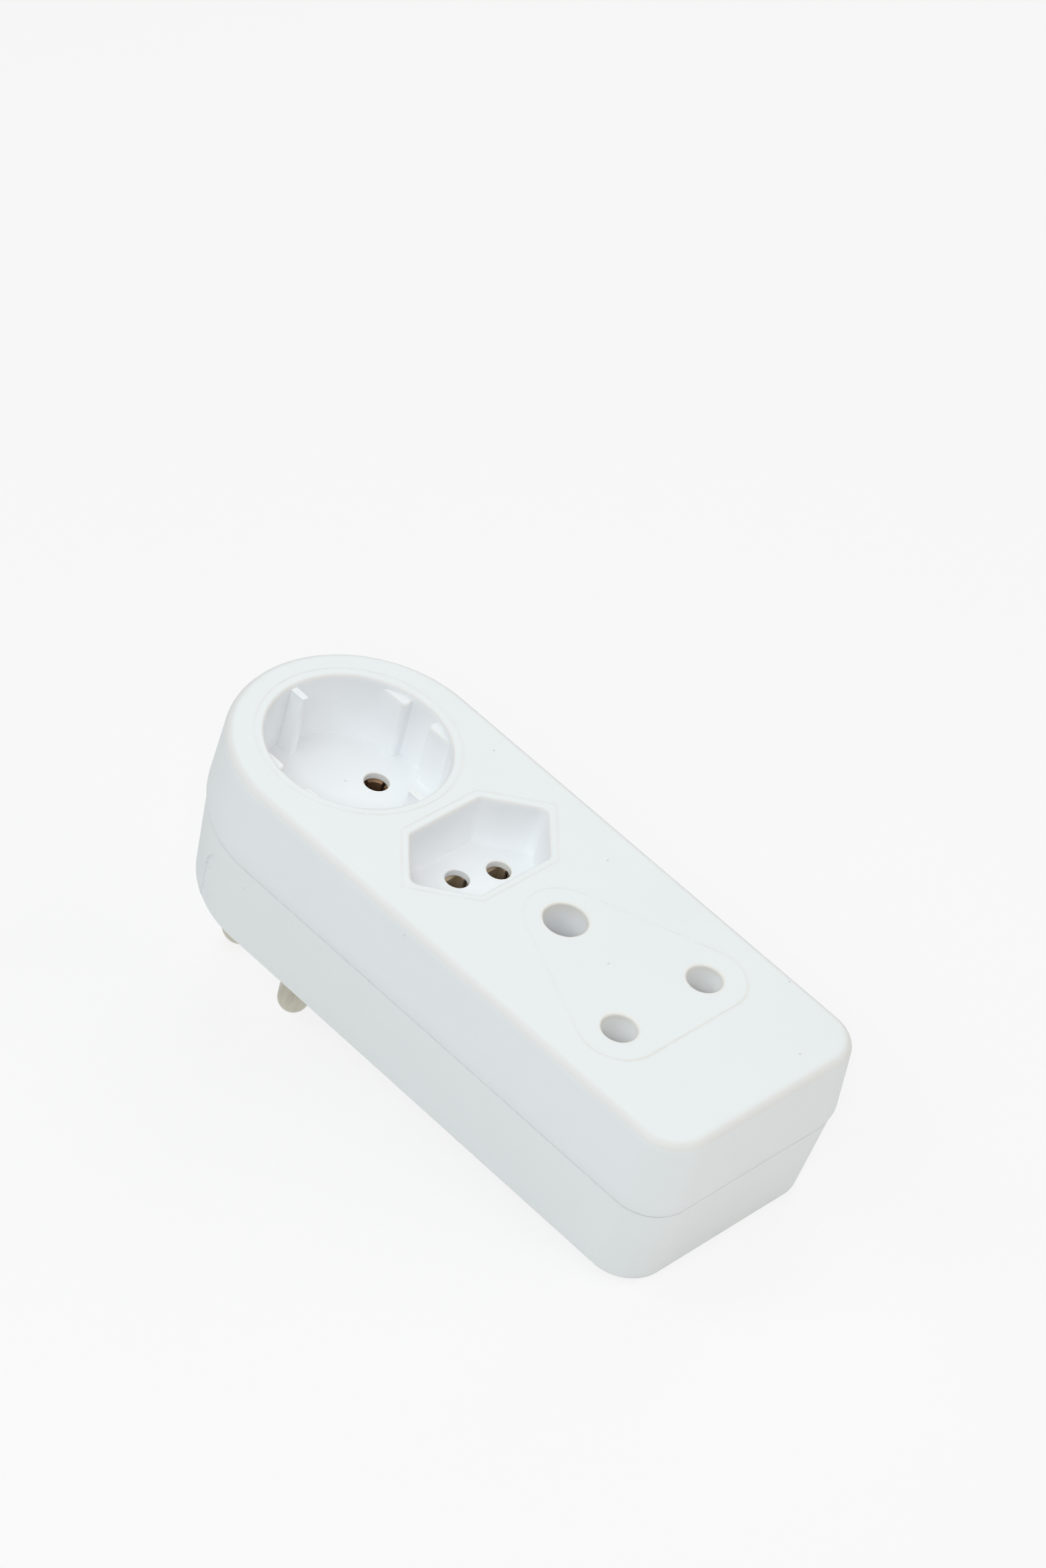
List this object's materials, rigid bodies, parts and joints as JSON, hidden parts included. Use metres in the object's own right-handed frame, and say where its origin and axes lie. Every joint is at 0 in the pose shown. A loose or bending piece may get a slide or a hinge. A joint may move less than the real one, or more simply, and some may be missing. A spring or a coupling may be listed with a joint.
{
  "type": "multi socket adapter",
  "caption": "Plug-in socket adapter: long white body, round at one end, with a round recess, a hexagonal recess and a flush outlet on its face, and round plug pins beneath.",
  "frame": {"origin": "On the earth pin's axis, at the plug face from which the pins stand out", "axes": "+X along the body to its square end, +Z out of the socket face, pins along -Z, symmetric about Y = 0"},
  "size_m": [0.1536, 0.0614, 0.0759],
  "materials": {
    "cover": "white moulded, satin gloss",
    "base": "white moulded, satin gloss",
    "insulator": "plain moulded",
    "screws": "zinc plated",
    "rivets": "plain brass",
    "contacts": "plain brass",
    "bars": "plain brass",
    "pins": "satin nickel plate on brass"
  },
  "bodies": {
    "root": {"top_cover": "cover", "base": "base", "bar_insulator": "insulator", "case_screws": "screws", "contact_rivets": "rivets", "round_line_contact": "contacts", "round_neutral_contact": "contacts", "hex_line_contact": "contacts", "hex_neutral_contact": "contacts", "hex_earth_contact": "contacts", "outlet_line_contact": "contacts", "outlet_neutral_contact": "contacts", "outlet_earth_contact": "contacts", "line_bar": "bars", "neutral_bar": "bars", "earth_bar": "bars", "earth_pin": "pins", "line_pin": "pins", "neutral_pin": "pins"}
  },
  "joints": []
}
